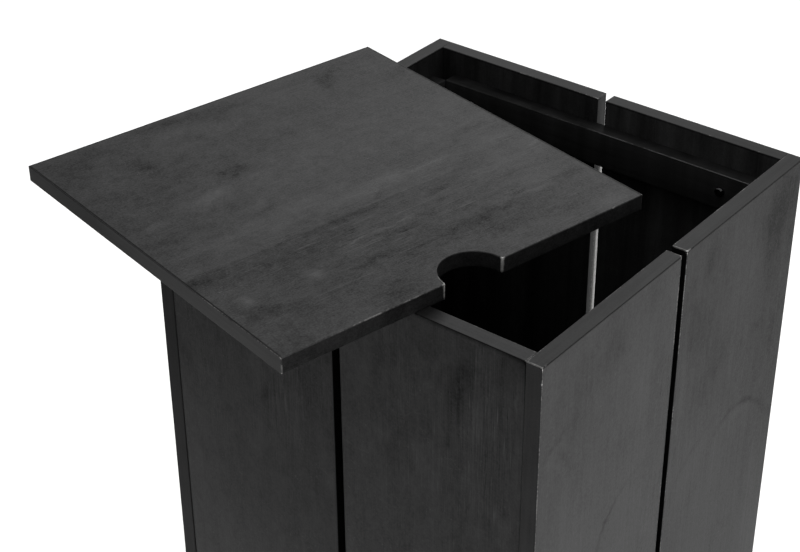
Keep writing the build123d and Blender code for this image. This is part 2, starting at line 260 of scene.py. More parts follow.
class Paint(Net):
    """A material with one Principled shader. seed times spread gives the texture offset."""

    SOCKETS = dict(color="Base Color", rough="Roughness", metal="Metallic",
                   spec="Specular IOR Level", normal="Normal",
                   emission="Emission Color", glow="Emission Strength")

    def __init__(self, name, seed=0.0, spread=(0, 0, 0), along=0):
        self.material = bpy.data.materials.new(name)
        self.material.use_nodes = True
        super().__init__(self.material.node_tree, "ShaderNodeOutputMaterial", "Object",
                         tuple(seed * s for s in spread), along)
        self.shader = self.node("ShaderNodeBsdfPrincipled")
        self.tree.links.new(self.shader.outputs[0], self.out.inputs[0])

    def finish(self, **values):
        for key, value in values.items():
            self.put(self.shader.inputs[self.SOCKETS[key]], value)
        return self.material


# ------------------------------------------------------------------ materials
TINT = (1.0, 1.0, 1.01)              # black stain
PALE_EDGE_TINT = (1, 0.99, 0.97)          # rubbed-through edges and painted highlights

# Noise layers of a stained board. Columns: scale across the grain, scale along it (per metre),
# shift, detail, roughness, distortion. The first four are clouds from hand-wide to under a
# millimetre; the last three follow the grain.
FILM_LAYERS = dict(
    big=(7.0, 4.0, 0.0, 4.0, 0.55, 0.7),
    mid=(46.0, 24.0, 1.3, 4.0, 0.62, 0.8),
    small=(160.0, 100.0, 2.1, 3.0, 0.65, 0.4),
    grit=(640.0, 560.0, 3.7, 2.0, 0.6, 0.0),
    wide=(58.0, 2.4, 0.6, 4.0, 0.60, 0.5),
    fine=(330.0, 5.0, 4.2, 3.0, 0.6, 0.0),
    hair=(1000.0, 14.0, 6.1, 2.0, 0.55, 0.0),
)
# On the lid the clouds are less drawn out along the grain.
LID_LAYERS = dict(
    FILM_LAYERS,
    mid=(46.0, 40.0, 1.3, 4.0, 0.62, 0.8),
    small=(160.0, 140.0, 2.1, 3.0, 0.65, 0.4),
)


def scratches(net):
    """Thin scratches in two directions, kept to patches."""
    first = net.op("ABSOLUTE", net.cloud(detail=1.0, rough=0.4, distortion=1.4,
                                         stretch=(26, 26, 26), turn=(0.3, 0.7, 0.5)))
    second = net.op("ABSOLUTE", net.cloud(detail=1.0, rough=0.4, distortion=0.9,
                                          stretch=(9, 60, 33), turn=(0.9, 0.2, 1.1)))
    off_x, off_y, off_z = net.offset
    patches = net.noise(scale=13.0, detail=2.0, rough=0.5, offset=(off_z, off_x, off_y))
    lines = net.add(net.ramp(first, (0.0014, 0.0004)),
                    (net.ramp(second, (0.0018, 0.0006)), 0.8))
    return net.mul(lines, net.ramp(patches, (0.52, 0.64)))


def seam(net, u, v, warp, at, softness, start, end, amount, reach):
    """A seam between two strips of veneer, in mm: the tone steps here and fades away from it."""
    blend_in, blend_out = 18, 30     # how softly the seam starts and ends
    line = net.add(at * MM, (warp, 0.008), (u, 0.012))
    distance = net.mul(net.sub(v, line), 1.0 / MM)
    step = net.ramp(distance, (-softness, softness), smooth=True)
    fade = net.ramp(net.op("ABSOLUTE", distance), (0.0, reach), (1.0, 0.0), smooth=True)
    starts = net.ramp(u, ((start - blend_in) * MM, (start + blend_in) * MM), smooth=True)
    ends = net.ramp(u, ((end - blend_out) * MM, (end + blend_out) * MM), (1.0, 0.0),
                    smooth=True)
    return net.mul(net.centred(step), fade, net.mul(starts, ends), amount * 2.0)


def film(name, along, seed, base, spec, face, clouds, lines, marks=(), arcs=(), boosts=(),
         seams=(), lid=False, gain=1.0, inside=1.0, relief=1.0):
    """A dark stained board under a thin satin film.

    clouds are the strengths of the layers big, mid, small, grit and wide; lines is that of the
    fine grain, which boosts, a list of ovals, bring out; gain deepens the marks; the inside
    level scales the faces that look into the bin, painting how much light reaches them; relief
    is the depth of the grain."""
    net = Paint(name, seed, spread=(1.37, 2.11, 0.73), along=along)
    x, y, z = net.xyz(net.coords)
    off_x, off_y, off_z = net.offset

    # slow warp so that no placed mark has a clean outline
    warp = dict(detail=3.0, rough=0.65, stretch=(70, 70, 70))
    warp_u = net.cloud(**warp)
    warp_v = net.cloud(**warp, offset=(off_y + 9, off_x, off_z))
    flat_u, flat_v = {"xy": (x, y), "xz": (x, z), "yz": (y, z)}[face]
    u = net.add(flat_u, (warp_u, 0.014))
    v = net.add(flat_v, (warp_v, 0.014))

    table = LID_LAYERS if lid else FILM_LAYERS
    layer = {key: net.centred(net.grain(*row)) for key, row in table.items()}
    gate = net.ramp(net.grain(16.0, 4.0, shift=7.7, detail=2.0, rough=0.5),
                    (0.40, 0.66), (0.12, 1.0))
    for boost in boosts:
        gate = net.add(gate, net.blob(u, v, *boost))
    pores = net.grain(1400.0, 34.0, shift=8.8, detail=1.0, rough=0.5)
    pores = net.mul(net.ramp(pores, (0.62, 0.74)), gate)
    bright = net.grain(1100.0, 30.0, shift=9.9, detail=1.0, rough=0.5)
    bright = net.mul(net.ramp(bright, (0.655, 0.74)), gate)
    dust = net.ramp(net.noise(scale=40.0, detail=2.0, rough=0.5), (0.54, 0.66))
    specks = net.mul(net.ramp(net.cells(240.0), (0.17, 0.09)), dust)
    scratch = scratches(net)

    weights = zip(("big", "mid", "small", "grit", "wide"), clouds)
    tone = net.add(1.0, *((layer[key], weight) for key, weight in weights),
                   (net.add((layer["fine"], 0.6), (layer["hair"], 0.6)), gate, lines))
    for *oval, amount, turn in marks:
        tone = net.add(tone, net.blob(u, v, *oval, amount * gain, turn))
    for arc in arcs:
        arc_u = net.add(flat_u, (warp_u, 0.010))
        arc_v = net.add(flat_v, (warp_v, 0.010))
        tone = net.add(tone, net.arc(arc_u, arc_v, *arc))
    for row in seams:
        tone = net.add(tone, seam(net, flat_u, flat_v, warp_v, *row))
    tone = net.add(tone, (pores, -0.22), (bright, 0.30), (specks, 0.55), (scratch, 0.22))
    tone = net.op("MAXIMUM", tone, 0.25)

    # pale edges: rubbed-through chips and spots, and painted highlights on arrises such as the lid
    # notch's corners
    wear = net.attr("wear")
    wear_noise = net.noise(scale=420.0, detail=4.0, rough=0.65)
    worn_and_highlight = net.ramp(net.add(wear, (net.centred(wear_noise), 0.9)), (0.50, 0.80), smooth=True)
    bare = net.ramp(wear, (0.85, 1.25), (0.085, 0.24))

    albedo = net.mul(tone, base)
    gloss = net.op("MAXIMUM", net.add(1.0, (net.sub(tone, 1.0), 0.95)), 0.2)
    gloss = net.mul(spec, gloss)
    if lid:
        # the cut side of the lid is matt and darker than its face
        side = net.ramp(z, (LID_H - 0.0014, LID_H - 0.0005), (1.0, 0.0))
        albedo = net.mix_value(side, albedo, net.mul(albedo, 0.52))
        gloss = net.mix_value(side, gloss, net.mul(gloss, 0.22))
    else:
        # the faces that look into the bin have upright runs from the rim, and the inside level paints
        # how much light reaches them, board by board
        far = net.op("MAXIMUM", net.op("ABSOLUTE", x), net.op("ABSOLUTE", y))
        inner = net.ramp(far, (INNER + 0.0004, INNER + 0.0016), (1.0, 0.0))
        runs = net.ramp(net.noise(stretch=(55, 55, 3)), (0.3, 0.7), (0.6, 1.5))
        albedo = net.mix_value(inner, albedo, net.mul(albedo, runs, 1.75 * inside))
        gloss = net.mix_value(inner, gloss, net.mul(gloss, runs, 1.7 * inside))
    # darker and less glossy where dark marks and painted shade are stored on the mesh
    clean = net.clean(left=0.12)
    bare = net.mul(bare, net.ramp(wear_noise, (0.3, 0.7), (0.7, 1.15)))
    rough = net.add(0.40, (layer["mid"], 0.20), (layer["small"], 0.12), (layer["fine"], 0.12),
                    (worn_and_highlight, 0.25))
    height = net.add((pores, -1.0), (layer["hair"], 1.0), (layer["fine"], 0.5), (specks, 0.8),
                     (scratch, -0.7), (layer["small"], 0.5))
    normal = net.bump(height, strength=0.35 * relief, distance=0.00022)
    return net.finish(
        color=net.mix(worn_and_highlight, net.grey(net.mul(albedo, clean), TINT), net.grey(bare, PALE_EDGE_TINT)),
        rough=net.op("MINIMUM", net.op("MAXIMUM", rough, 0.2), 0.8),
        spec=net.mul(gloss, clean),
        normal=net.bump(layer["grit"], strength=0.20, distance=0.00020, normal=normal))


def strip(name, along, seed, base, spec, bare=0.09):
    """A thin black edging strip: slightly drawn surface, handled smooth, pale on its corners from
    rubbing and painted highlights.
    """
    net = Paint(name, seed, spread=(0.91, 1.7, 1.3), along=along)
    drawn = net.centred(net.grain(260.0, 9.0, shift=0.0, detail=3.0, rough=0.6))
    patch = net.cloud(scale=30.0, detail=4.0, distortion=0.5)
    small = net.cloud(scale=150.0, distortion=0.3)
    fine = net.cloud(scale=560.0)
    gate = net.ramp(net.noise(scale=60.0, detail=2.0, rough=0.5), (0.52, 0.66))
    specks = net.mul(net.ramp(net.cells(330.0), (0.2, 0.1)), gate)
    tone = net.add(1.0, (patch, 0.55), (drawn, 0.55), (small, 0.35), (fine, 0.60),
                   (specks, 0.5))
    wear = net.attr("wear")
    worn_and_highlight = net.ramp(net.add(wear, (fine, 1.1), (small, 0.5)), (0.48, 0.78), smooth=True)
    # darker and less glossy where dark marks and painted shade are stored on the mesh
    clean = net.clean(left=0.08)
    # marks above 1.05 make the pale colour up to 3.4 times brighter: painted light on the rear slot's
    # outer arris
    pale_level = net.mul(bare, net.ramp(wear, (1.05, 1.2), (1.0, 3.4)), net.add(1.0, (fine, 1.2)))
    height = net.add((drawn, 0.8), (fine, 0.5), (specks, 0.6))
    return net.finish(
        color=net.mix(worn_and_highlight, net.grey(net.mul(tone, base, clean), TINT),
                      net.grey(pale_level, PALE_EDGE_TINT)),
        rough=net.add(0.42, (patch, 0.16), (fine, 0.10), (worn_and_highlight, 0.2)),
        spec=net.mul(spec, net.add(1.0, (patch, 0.5), (drawn, 0.5), (fine, 0.5)), clean),
        normal=net.bump(height, strength=0.25, distance=0.00018))


def batten(name, along, seed):
    """Black stained softwood: open grain, matt, the arris pale from a little rubbing and a painted
    highlight.
    """
    net = Paint(name, seed, spread=(1.9, 0.7, 1.1), along=along)
    broad = net.centred(net.grain(150.0, 3.5, shift=0.0, detail=4.0, rough=0.6,
                                  distortion=0.4))
    fine = net.centred(net.grain(900.0, 16.0, shift=0.0, detail=2.0, rough=0.55))
    patch = net.cloud(scale=26.0)
    rub = net.cloud(scale=380.0, rough=0.65)
    worn_and_highlight = net.ramp(net.add(net.attr("wear"), (rub, 1.0)), (0.50, 0.85), smooth=True)
    # darker and less glossy where painted shade is stored on the mesh, as on the ledge rails
    clean = net.clean(left=0.06)
    # the wall's upright runs, carried across the ledge
    runs = net.ramp(net.noise(stretch=(60, 60, 3)), (0.3, 0.7), (0.65, 1.4))
    tone = net.mul(net.add(1.0, (broad, 0.9), (fine, 0.8), (patch, 0.5)), runs)
    return net.finish(
        color=net.mix(worn_and_highlight, net.grey(net.mul(tone, 0.0105, clean), TINT),
                      net.grey(0.040, TINT)),
        rough=net.add(0.50, (fine, 0.2)),
        spec=net.mul(0.34, net.add(1.0, (broad, 0.6)), clean),
        normal=net.bump(net.add((fine, 1.0), (broad, 0.6)), strength=0.5, distance=0.0003))


def metal(name, seed, base, rough, dull=0.5, spangle=0.0):
    """Coated steel, a little dull, with faint crystals and rusty spots.

    dull is how metallic the spots stay; spangle is the strength of the crystals."""
    net = Paint(name, seed, spread=(1.1, 0.6, 2.3))
    patch = net.cloud(scale=60.0, detail=4.0)
    fine = net.cloud(scale=900.0, detail=2.0)
    crystal = net.xyz(net.cells(95.0, output="Color"))[0]
    crystal = net.mul(net.centred(crystal), spangle)
    tone = net.add(1.0, (patch, 0.5), (fine, 0.25), crystal)
    rust = net.ramp(net.noise(scale=130.0, detail=4.0, rough=0.65), (0.66, 0.78))
    return net.finish(
        color=net.mix(net.mul(rust, 0.35), net.grey(net.mul(tone, base), TINT),
                      net.grey(0.10, (1.0, 0.93, 0.86))),
        metal=net.ramp(rust, (0, 1), (1.0, dull)),
        rough=net.add(rough, (patch, 0.25), (crystal, 0.3)),
        normal=net.bump(net.add(fine, (patch, 0.5)), strength=0.18, distance=0.0002))


def powder(name):
    """Black powder coat: fine orange peel, dust settled in it, scuffs."""
    net = Paint(name, 1.0, spread=(1.6, 0.8, 0.5))
    peel = net.noise(scale=850.0, detail=2.0, rough=0.5)
    dust = net.cloud(scale=18.0, detail=5.0, distortion=0.6)
    runs = net.cloud(detail=4.0, stretch=(60, 60, 2.5))
    scuff = net.ramp(net.noise(scale=260.0, detail=4.0, rough=0.7), (0.66, 0.74))
    tone = net.add(1.0, (dust, 0.9), (runs, 0.7), (scuff, 0.7))
    return net.finish(
        color=net.grey(net.mul(tone, 0.030), TINT),
        rough=net.add(0.46, (dust, 0.2)),
        spec=0.45,
        normal=net.bump(net.add((peel, 1.0), (scuff, -0.4)), strength=0.28, distance=0.0002))


# ------------------------------------------------------------------ meshes
def clamp(value, low=0.0, high=1.0):
    return max(low, min(high, value))


def fade(distance, reach):
    return math.exp(-(distance / reach) ** 2)


def fbm(point, scale, seed):
    """Fractal noise about zero at a point."""
    return noise.fractal(Vector((point.x * scale + seed * 7.31, point.y * scale - seed * 3.17,
                                 point.z * scale + seed * 1.93)), 1.0, 2.0, 3)


def smooth_by_angle(ob, angle):
    mesh = ob.data
    mesh.update()
    mesh.shade_smooth()
    bm = bmesh.new()
    bm.from_mesh(mesh)
    limit = math.radians(angle)
    for edge in bm.edges:
        edge.smooth = len(edge.link_faces) == 2 and edge.calc_face_angle(0.0) < limit
    bm.to_mesh(mesh)
    bm.free()


# Grid stations close to an edge, as distances from it
EDGE_STATIONS = (0.0, 0.00016, 0.00034, 0.00056, 0.00084, 0.0012, 0.0017, 0.0024, 0.0036)
CHIP_PITCH = 0.0007                  # station spacing around a chip
LEAST_GAP = 0.00009                  # closer stations are dropped


def stations(lo, hi, step, zones):
    """Grid positions from lo to hi: close together near both ends and in the zones."""
    length = hi - lo
    near = [s for s in EDGE_STATIONS if s <= length * 0.5]
    found = {round(lo + s, 7) for s in near} | {round(hi - s, 7) for s in near}
    count = max(1, int(math.ceil(length / step)))
    for i in range(1, count):
        found.add(round(lo + length * i / count, 7))
    for (centre, reach) in zones:
        shift = -reach
        while shift <= reach:
            at = centre + shift
            if lo < at < hi:
                found.add(round(at, 7))
            shift += CHIP_PITCH
    found = sorted(found)
    kept = [found[0]]
    for at in found[1:-1]:
        if at - kept[-1] > LEAST_GAP and found[-1] - at > LEAST_GAP:
            kept.append(at)
    kept.append(found[-1])
    return kept


def opposite(side):
    return ("-" if side[0] == "+" else "+") + side[1]


def box_between(corner, other):
    """The lowest and highest corner of the box between two opposite corners."""
    pairs = list(zip(corner, other))
    return Vector([min(p) for p in pairs]), Vector([max(p) for p in pairs])


def rounding(side, radius, elsewhere=GLUE, upright_only=False):
    """Edge rounding: radius on the edges of one side, and another value elsewhere."""
    def radius_of(edge):
        if side in edge and not (upright_only and edge & {"+z", "-z"}):
            return radius
        return elsewhere
    return radius_of


class Part:
    """Collects rounded blocks with rubbed edges into one mesh, with one attribute for rubbing and
    painted highlights and one for dark marks and painted shade.
    """

    def __init__(self):
        self.verts, self.faces, self.wear, self.dark_marks_and_shade = [], [], [], []

    def block(self, lo, hi, radius, seed, chips=(), step=0.010, wear=None, unevenness=0.35,
              dark_marks_and_shade=None):
        """One block. An edge is the pair of sides it joins, such as {"+x", "+z"}.

        radius(edge) is its rounding; one function of (point, edge, distance) gives its rubbing and
        painted highlights, one of (point) its dark marks and painted shade; chips are (point, size,
        depth)."""
        lo, hi = Vector(lo), Vector(hi)
        grid = [stations(lo[a], hi[a], step, [(at[a], size * 1.6) for at, size, depth in chips])
                for a in range(3)]
        count = [len(axis) - 1 for axis in grid]
        size = hi - lo
        index = {}

        def vertex(key):
            if key in index:
                return index[key]
            point = Vector([grid[a][key[a]] for a in range(3)])
            sides = []
            for a, axis in enumerate("xyz"):
                low, high = point[a] - lo[a], hi[a] - point[a]
                sides.append((low, "-" + axis) if low < high else (high, "+" + axis))
            # the nearest edge is where the two nearest sides meet
            (_, nearest), (distance, second), _ = sorted(sides)
            edge = {nearest, second}
            bend = radius(edge)
            broad = fbm(point, 38.0, seed)
            fine = fbm(point, 210.0, seed + 5)
            hit = 0.0
            for (at, reach, depth) in chips:
                away = (point - Vector(at)).length / reach
                if away < 1.6:
                    bite = math.exp(-(away ** 2) * 2.2)
                    bite *= 1.0 + 0.5 * fbm(point, 700.0, seed + 9)
                    bend += depth * bite
                    hit = max(hit, bite)
            bend = max(0.00008, bend * (1.0 + unevenness * (0.9 * broad + 0.6 * fine)))
            bend = min(bend, size.x * 0.49, size.y * 0.49, size.z * 0.49)
            core = Vector([min(max(point[a], lo[a] + bend), hi[a] - bend) for a in range(3)])
            out = point - core
            if wear:
                worn_and_highlight = wear(point, edge, distance)
            else:
                worn_and_highlight = max(0.0, 1.0 - distance / 0.0009) * (0.4 * max(0.0, broad))
            self.wear.append(clamp(worn_and_highlight + hit * 0.75, high=1.2))
            self.dark_marks_and_shade.append(dark_marks_and_shade(point) if dark_marks_and_shade else 0.0)
            index[key] = len(self.verts)
            self.verts.append(core + out.normalized() * bend if out.length > 1e-9 else point)
            return index[key]

        # Two spanned axes, the fixed axis, and its stations wound forwards and backwards
        for first, second, fixed, forward, backward in (
                (0, 1, 2, count[2], 0), (0, 2, 1, 0, count[1]), (1, 2, 0, count[0], 0)):
            for i in range(count[first]):
                for j in range(count[second]):
                    for at, winding in ((forward, 1), (backward, -1)):
                        face = []
                        for di, dj in ((0, 0), (1, 0), (1, 1), (0, 1)):
                            key = [at, at, at]
                            key[first] = i + di
                            key[second] = j + dj
                            face.append(vertex(tuple(key)))
                        self.faces.append(tuple(face[::winding]))

    def make(self, name, material, body, node, matrix=None):
        mesh = bpy.data.meshes.new(name)
        mesh.from_pydata([tuple(v) for v in self.verts], [], self.faces)
        for key, values in (("wear", self.wear), ("dark_marks_and_shade", self.dark_marks_and_shade)):
            mesh.attributes.new(key, "FLOAT", "POINT").data.foreach_set("value", values)
        mesh.materials.append(material)
        ob = bpy.data.objects.new(name, mesh)
        bpy.context.scene.collection.objects.link(ob)
        if matrix is not None:
            ob.matrix_world = matrix
        smooth_by_angle(ob, 50.0)
        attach(ob, body)
        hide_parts(node)


# ---- the eight wall boards -------------------------------------------------
def wall_joints_and_shade(node):
    """Painted shade in a band just under the top edging strip, about 3 mm deep on the front wall and
    a thin line elsewhere, a dark joint line along the seams of the front wall, and a patch of painted
    shade in the front right board's top corner.
    """
    front = node.startswith("front")
    depth = 0.0030 if front else 0.0007
    amount = 0.62 if front else 0.75
    lo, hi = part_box(node)

    def dark_marks_and_shade(point):
        below = CORE_TOP - point.z
        # painted shade just under the top edging strip
        darkening = amount * fade(below, depth) * (1.0 + 0.5 * fbm(point, 55.0, 3.0))
        if front:
            end = hi.x - point.x if hi.x > 0 else point.x - lo.x
            # dark joint line at the board's outer end
            darkening += 0.5 * fade(end, 0.0008)
            if hi.x > 0:
                # painted shade in the board's top corner by the bin's front right corner
                darkening += 0.55 * fade(end, 0.006) * fade(below, 0.008)
        return clamp(darkening)
    return dark_marks_and_shade


# Looks of the boards, all in mm.
# marks: (along, up, half width, half height, tone change, turn)
# arcs: (along, up, half width, half height, line width, tone change, (along, up, reach) kept)
# boosts: (along, up, half width, half height, gain of the fine grain)
RIGHT_FRONT = dict(
    marks=[
        (-92, 763, 9, 12, -0.10, 0.1), (-45, 782, 9, 24, -0.09, 0), (-51, 707, 10, 30, 0.09, 0.1),
        (-150, 735, 5, 40, -0.07, -0.2), (-178, 705, 14, 5, 0.08, 0.5),
        (-172, 718, 16, 4, -0.08, 0.5), (-165, 600, 30, 90, 0.09, 0), (-14, 624, 12, 20, -0.05, 0),
        (-120, 760, 30, 25, -0.06, 0), (-20, 590, 22, 60, 0.03, 0), (-70, 650, 20, 26, -0.06, 0.2),
        (-20, 600, 34, 170, -0.065, 0), (-28, 690, 18, 80, -0.05, 0)],
    arcs=[
        (-40, 545, 67.5, 67.5, 2.5, -0.42, (-92, 580, 40)),
        (-36, 541, 76, 76, 3.0, 0.07, (-98, 590, 40)),
        (-215, 660, 62, 62, 3.0, -0.17, (-165, 697, 32)),
        (-215, 650, 58, 58, 3.0, 0.12, (-170, 690, 32))],
    boosts=[(-15, 700, 16, 80, 0.8), (-170, 620, 20, 120, 0.6)])
RIGHT_REAR = dict(
    marks=[
        (45, 768, 12, 18, -0.10, 0), (33, 708, 14, 34, -0.10, -0.15), (16, 650, 6, 50, 0.15, 0),
        (66, 700, 26, 60, -0.05, 0), (60, 545, 60, 40, 0.03, 0), (164, 765, 34, 30, -0.10, 0),
        (110, 785, 110, 45, -0.03, 0), (180, 705, 75, 150, -0.17, 0), (200, 560, 55, 180, -0.09, 0),
        (70, 690, 40, 90, -0.04, 0), (150, 540, 80, 90, -0.05, 0), (92, 755, 18, 26, 0.05, 0),
        (151, 680, 22, 60, -0.05, 0)],
    arcs=[
        (118, 480, 76, 96, 2.6, -0.22, (140, 575, 44)),
        (118, 472, 76, 96, 4.2, 0.13, (135, 568, 44)),
        (95, 500, 92, 84, 3.4, -0.17, (40, 575, 36))],
    boosts=[(16, 650, 10, 90, 1.2), (120, 620, 40, 60, 0.5)])
FRONT_RIGHT = dict(
    marks=[
        (128, 762, 10, 26, -0.26, -0.15), (121, 738, 8, 14, -0.20, 0.2),
        (113, 694, 4, 13, -0.26, 0.1), (154, 756, 6, 12, -0.14, 0), (83, 628, 14, 12, 0.14, 0.4),
        (90, 658, 8, 16, 0.08, 0), (167, 632, 9, 12, 0.20, 0.4), (171, 612, 9, 7, 0.22, 0),
        (148, 604, 9, 16, 0.14, 0), (178, 757, 1.6, 9, 0.35, 0), (143, 722, 12, 16, 0.10, 0),
        (120, 724, 9, 16, -0.14, 0), (120, 748, 10, 16, -0.10, 0), (100, 770, 30, 14, -0.10, 0),
        (35, 735, 30, 60, -0.04, 0), (30, 560, 60, 140, -0.10, 0)],
    boosts=[(150, 735, 26, 46, 3.2), (140, 660, 40, 60, 1.0), (100, 690, 10, 60, 0.8)])
FRONT_LEFT = dict(
    marks=[
        (-82, 648, 5, 10, -0.30, -0.4), (-72, 655, 10, 4, -0.10, -0.5), (-12, 600, 8, 26, 0.16, 0.25),
        (-9, 587, 6, 10, 0.14, 0), (-178, 655, 8, 22, -0.16, 0.5), (-170, 690, 18, 30, -0.08, 0),
        (-100, 530, 70, 50, -0.08, 0), (-51, 629, 10, 30, 0.08, 0.2), (-30, 700, 26, 40, -0.04, 0)],
    arcs=[(-120, 560, 90, 130, 3.0, -0.06, (-90, 680, 40))],
    boosts=[(-55, 680, 20, 60, 1.4), (-150, 600, 30, 80, 0.5)])

RIGHT_WALL = dict(face="yz", clouds=(0.85, 1.15, 0.66, 0.90, 0.30), lines=0.10, relief=0.35,
                  gain=2.1, inside=0.6)
FRONT_WALL = dict(face="xz", clouds=(0.50, 0.80, 0.60, 0.70, 0.45), lines=0.66, gain=1.2,
                  inside=0.5)
LEFT_WALL = dict(face="yz", clouds=(0.50, 0.60, 0.45, 0.55, 0.5), lines=0.4, base=0.0105,
                 spec=0.24)
REAR_WALL = dict(LEFT_WALL, face="xz", clouds=(0.50, 0.60, 0.45, 0.55, 0.6))

# (node, seed, film settings); the inside level sets each board's inner faces, painting how much light
# reaches them
BOARDS = [
    ("right_panel_front", 1.3, dict(RIGHT_WALL, base=0.0086, spec=0.151, **RIGHT_FRONT)),
    ("right_panel_rear", 2.7, dict(RIGHT_WALL, base=0.0072, spec=0.123, **RIGHT_REAR)),
    ("left_panel_front", 3.9, dict(LEFT_WALL, inside=0.45)),
    ("left_panel_rear", 4.4, dict(LEFT_WALL, inside=0.42)),
    ("front_panel_left", 5.6, dict(FRONT_WALL, base=0.0096, spec=0.218, **FRONT_LEFT)),
    ("front_panel_right", 6.1, dict(FRONT_WALL, base=0.0122, spec=0.295, **FRONT_RIGHT)),
    ("rear_panel_left", 7.7, dict(REAR_WALL, inside=0.52)),
    ("rear_panel_right", 8.2, dict(REAR_WALL, inside=0.82)),
]
for node, seed, look in BOARDS:
    part = Part()
    part.block(*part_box(node), rounding("-z", EASED), seed, unevenness=0.15,
               dark_marks_and_shade=wall_joints_and_shade(node), step=0.04)
    part.make("board_" + node.replace("_panel", ""),
              film("film_" + node, along=2, seed=seed, **look), "housing", node)


# ---- top edging strips -------------------------------------------------------
def halves(node, axis):
    """The two separate strips of a node, as boxes, parted at zero along one axis."""
    for sign in (-1, 1):
        part = [p for p in points_of(node) if p[axis] * sign > 0]
        yield (Vector([min(p[a] for p in part) for a in range(3)]),
               Vector([max(p[a] for p in part) for a in range(3)]))


def rim_darkening(side):
    """The strip's outer side is painted dark, standing in for the dark reflection of its arris; the
    top darkens towards the rear right corner, and the front strip carries the lid's painted shadow.
    """
    axis = "xyz".index(side[1])
    outer = HALF if side[0] == "+" else -HALF

    def dark_marks_and_shade(point):
        # painted dark reflection on the strip's outer side, below its top arris
        if abs(point[axis] - outer) < ON_FACE and RIM - point.z > 0.00025:
            return 0.95
        # darker towards the rear right corner
        if side == "+x":
            return clamp(0.03 + 2.1 * (point.y - 0.04), high=0.40)
        if side == "+y":
            if point.x > 0:
                return min(0.42, 0.13 + 1.9 * point.x)
            return 0.17 if point.x > -0.075 else 0.05
        if side == "-y" and point.x > 0:
            # painted shadow of the lid, fading out towards the right
            t = clamp((point.x - 0.090) / 0.020)
            return 0.74 * (1.0 - t * t * (3 - 2 * t))
        return 0.0
    return dark_marks_and_shade


def rim_wear(side, spots):
    """Pale arrises of a rim strip: a painted highlight along the inner arris, and strong pale spots,
    partly rubbed through and partly painted glints.
    """
    inner_arris = {"+z", opposite(side)}
    amount = 0.52 if side == "+x" else 0.40

    def wear(point, edge, distance):
        worn_and_highlight = 0.0
        # painted highlight along the inner arris
        if edge == inner_arris and distance < 0.0009:
            worn_and_highlight = amount + 0.30 * fbm(point, 45.0, 7.0)
        for (x, y, reach, strength) in spots:
            away = (point - Vector((x, y, RIM))).length / reach
            if away < 1.5 and distance < 0.0012:
                worn_and_highlight = max(worn_and_highlight, strength * math.exp(-away * away * 1.5))
        return worn_and_highlight
    return wear


# Wall, outer side, seed of its first strip, material settings, then
# chips: (x, y, size, depth) and pale spots of rubbing and painted glints: (x, y, reach, strength),
# all at rim height.
RIM_STRIPS = [
    ("right", "+x", 27.0, dict(seed=1.0, base=0.0119, spec=0.266, bare=0.075),
     [(HALF, -HALF, 0.0016, 0.0005), (HALF, -HALF_SLOT, 0.0030, 0.0018),
      (HALF, HALF_SLOT, 0.0026, 0.0012), (INNER, -HALF_SLOT, 0.0020, 0.0008)],
     [(HALF - 0.007, -HALF, 0.014, 0.84), (HALF, HALF_SLOT, 0.007, 0.95),
      (INNER + 0.006, HALF_SLOT, 0.012, 0.85), (HALF - 0.004, -HALF_SLOT, 0.008, 0.70),
      (INNER + 0.002, -HALF + 0.004, 0.004, 0.5)]),
    ("left", "-x", 26.0, dict(seed=2.0, base=0.0110, spec=0.23),
     [(-HALF, -HALF, 0.002, 0.0006)], []),
    ("rear", "+y", 26.0, dict(seed=4.0, base=0.0125, spec=0.26),
     [(-HALF_SLOT, INNER, 0.002, 0.0009)],
     [(-HALF_SLOT, HALF - 0.008, 0.010, 0.55), (HALF_SLOT, HALF - 0.012, 0.008, 0.5)]),
    ("front", "-y", 27.0, dict(seed=3.0, base=0.0143, spec=0.285, bare=0.080),
     [(-HALF_SLOT, -HALF, 0.002, 0.0008)],
     [(INNER, -HALF + 0.006, 0.010, 0.64), (INNER, -HALF, 0.004, 0.7),
      (-INNER, -HALF + 0.006, 0.009, 0.5)]),
]
for wall, side, seed, look, chips, spots in RIM_STRIPS:
    node = wall + "_top_edging"
    axis = 1 if side[1] == "x" else 0
    part = Part()
    for i, (lo, hi) in enumerate(halves(node, axis)):
        own_chips = [((chip[0], chip[1], RIM), *chip[2:]) for chip in chips
                     if (chip[axis] < 0) == (i == 0)]
        part.block(lo, hi, rounding("+z", TIGHT), seed + i * 3, chips=own_chips,
                   wear=rim_wear(side, spots), dark_marks_and_shade=rim_darkening(side))
    part.make("rim_strips_" + wall, strip("strip_rim_" + wall, along=axis, **look),
              "housing", node)


